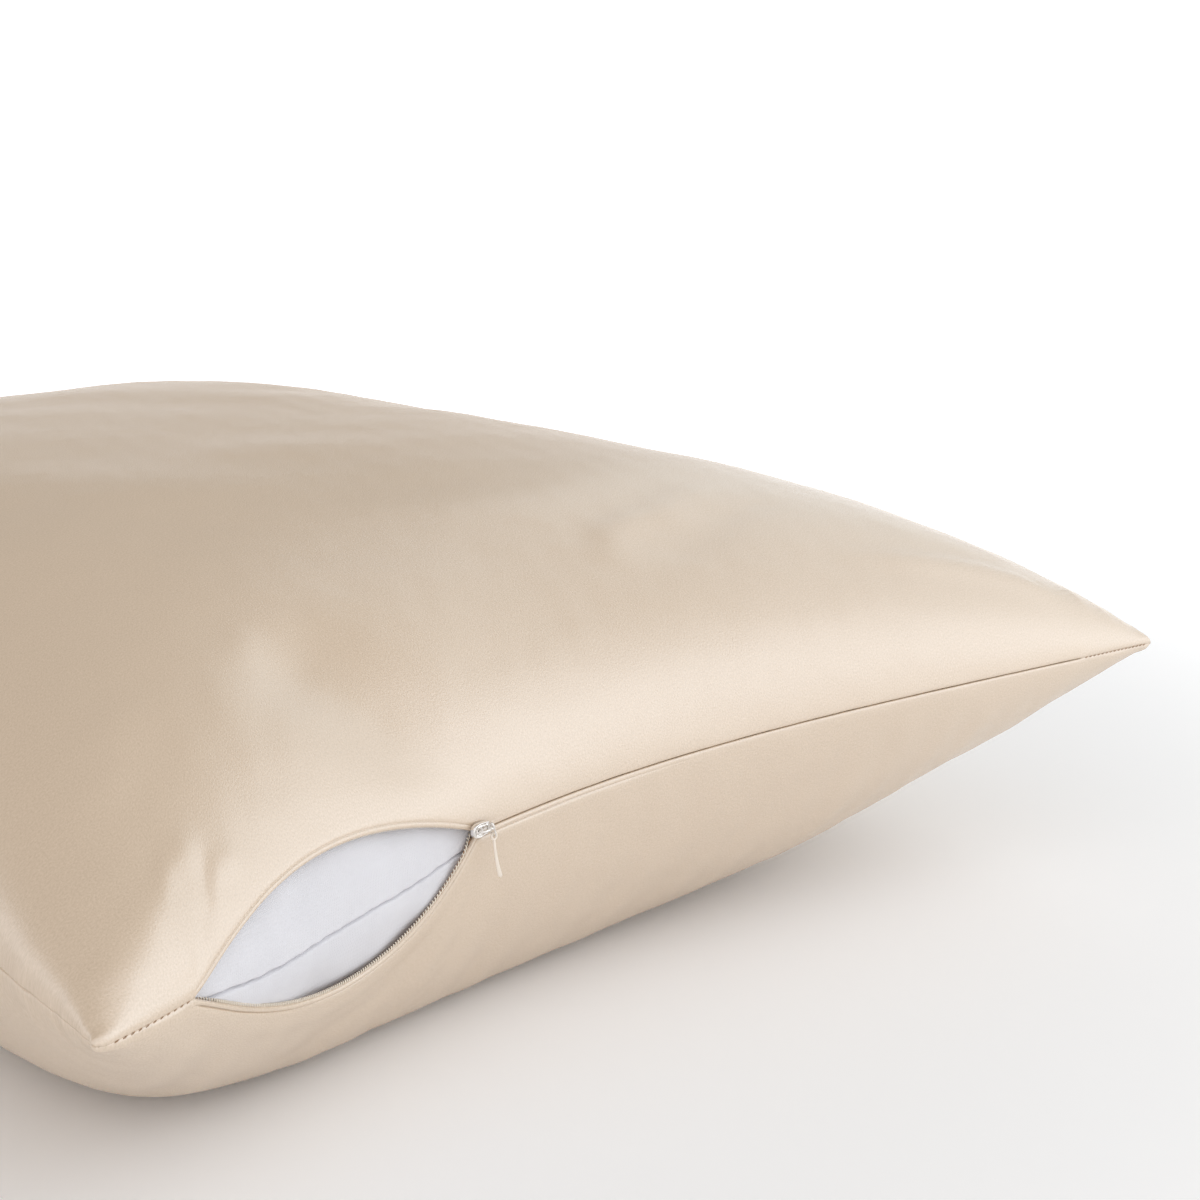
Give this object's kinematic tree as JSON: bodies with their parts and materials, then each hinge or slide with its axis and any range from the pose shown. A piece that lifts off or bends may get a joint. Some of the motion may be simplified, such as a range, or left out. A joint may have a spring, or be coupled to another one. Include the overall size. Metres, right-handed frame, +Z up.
{
  "type": "pillowcase on a pillow",
  "caption": "Satin pillowcase with a concealed zip, partly open in its short end, filled by a plump white pillow and lying flat.",
  "frame": {"origin": "middle of the outline, on the surface the case lies on", "axes": "+Y along the length, away from the zipped short end; +Z up, through the thickness; +X across, to the right seen from the zipped end"},
  "size_m": [0.4871, 0.7136, 0.1729],
  "materials": {
    "satin": "champagne silk satin, broad soft gloss",
    "pillow_cotton": "white tightly woven cotton, matt",
    "zip_tape": "woven polyester tape, matt",
    "zip_coil": "nylon coil, soft gloss",
    "zip_metal": "polished plated metal",
    "zip_pull_metal": "cream lacquered metal, soft gloss"
  },
  "bodies": {
    "root": {"case_upper": "satin", "case_lower": "satin", "pillow": "pillow_cotton", "zip_tape_upper": "zip_tape", "zip_tape_lower": "zip_tape", "zip_coil_upper": "zip_coil", "zip_coil_lower": "zip_coil", "zip_slider": "zip_metal", "zip_link": "zip_metal", "zip_pull": "zip_pull_metal"}
  },
  "joints": []
}
